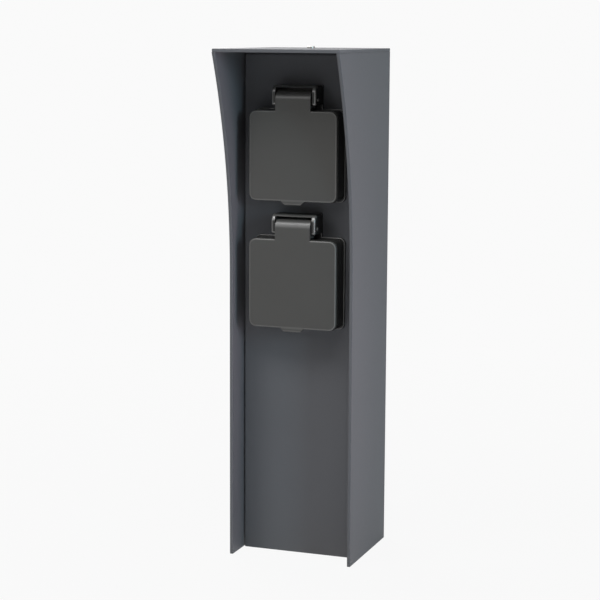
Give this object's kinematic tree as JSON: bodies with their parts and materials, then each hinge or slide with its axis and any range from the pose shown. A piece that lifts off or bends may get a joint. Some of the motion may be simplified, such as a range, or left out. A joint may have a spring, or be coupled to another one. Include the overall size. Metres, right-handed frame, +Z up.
{
  "type": "garden socket column",
  "caption": "Free-standing outdoor power column: bent sheet housing with a small roof, and earthed sockets on its front panel under spring-closed hinged lids",
  "frame": {"origin": "on the ground, at the middle of the roof plate's outline seen from above", "axes": "+X to the viewer's right, +Y from the sockets to the back wall, +Z up"},
  "size_m": [0.091, 0.114, 0.3616],
  "materials": {
    "coated_sheet": "grey powder coat, fine texture, semi-matt",
    "galvanised": "galvanised sheet",
    "stainless": "bright stainless steel",
    "spring_steel": "drawn spring wire",
    "brass": "turned and stamped brass",
    "tinned": "tinned copper",
    "seal_rubber": "soft black rubber",
    "frame_plastic": "black-grey moulded plastic, fine grain",
    "lid_plastic": "dark warm grey moulded plastic, satin",
    "insert_plastic": "dark moulded plastic",
    "block_plastic": "light moulded plastic",
    "live_insulation": "brown insulation",
    "neutral_insulation": "blue insulation",
    "earth_insulation": "green and yellow insulation"
  },
  "bodies": {
    "housing": {"back_screws": "stainless", "bonding_wire": "earth_insulation", "cable_clamp": "insert_plastic", "cable_clamp_screws": "stainless", "cable_grommet": "seal_rubber", "contact_screws": "brass", "earth_lug": "tinned", "earth_nut": "brass", "earth_stud": "brass", "frame_nuts": "stainless", "frame_screws": "stainless", "front_panel": "coated_sheet", "ground_bracket": "galvanised", "housing_shell": "coated_sheet", "lower_contact_carrier": "insert_plastic", "lower_earth_clip": "brass", "lower_earth_wire": "earth_insulation", "lower_frame_gasket": "seal_rubber", "lower_hinge_pin": "stainless", "lower_hinge_spring": "spring_steel", "lower_live_contact": "brass", "lower_live_wire": "live_insulation", "lower_neutral_contact": "brass", "lower_neutral_wire": "neutral_insulation", "lower_rear_cap": "insert_plastic", "lower_socket_frame": "frame_plastic", "panel_standoffs": "stainless", "roof_plate": "coated_sheet", "roof_rivet_nut": "stainless", "roof_screw": "stainless", "terminal_block": "block_plastic", "terminal_screws": "brass", "upper_contact_carrier": "insert_plastic", "upper_earth_clip": "brass", "upper_earth_wire": "earth_insulation", "upper_frame_gasket": "seal_rubber", "upper_hinge_pin": "stainless", "upper_hinge_spring": "spring_steel", "upper_live_contact": "brass", "upper_live_wire": "live_insulation", "upper_neutral_contact": "brass", "upper_neutral_wire": "neutral_insulation", "upper_rear_cap": "insert_plastic", "upper_socket_frame": "frame_plastic", "well_screws": "stainless"},
    "lower_lid_body": {"lower_lid": "lid_plastic", "lower_lid_seal": "seal_rubber"},
    "upper_lid_body": {"upper_lid": "lid_plastic", "upper_lid_seal": "seal_rubber"}
  },
  "joints": [
    {"name": "lower_lid_hinge", "type": "hinge", "parent": "housing", "child": "lower_lid_body", "pos_m": [0, -0.0154, 0.2362], "axis": [-1, 0, 0], "range_deg": [0, 108], "stiffness_Nm_per_rad": 0.03, "springref_deg": -28.65, "deforming": ["lower_hinge_spring"]},
    {"name": "upper_lid_hinge", "type": "hinge", "parent": "housing", "child": "upper_lid_body", "pos_m": [0, -0.0154, 0.3252], "axis": [-1, 0, 0], "range_deg": [0, 108], "stiffness_Nm_per_rad": 0.03, "springref_deg": -28.65, "deforming": ["upper_hinge_spring"]}
  ]
}
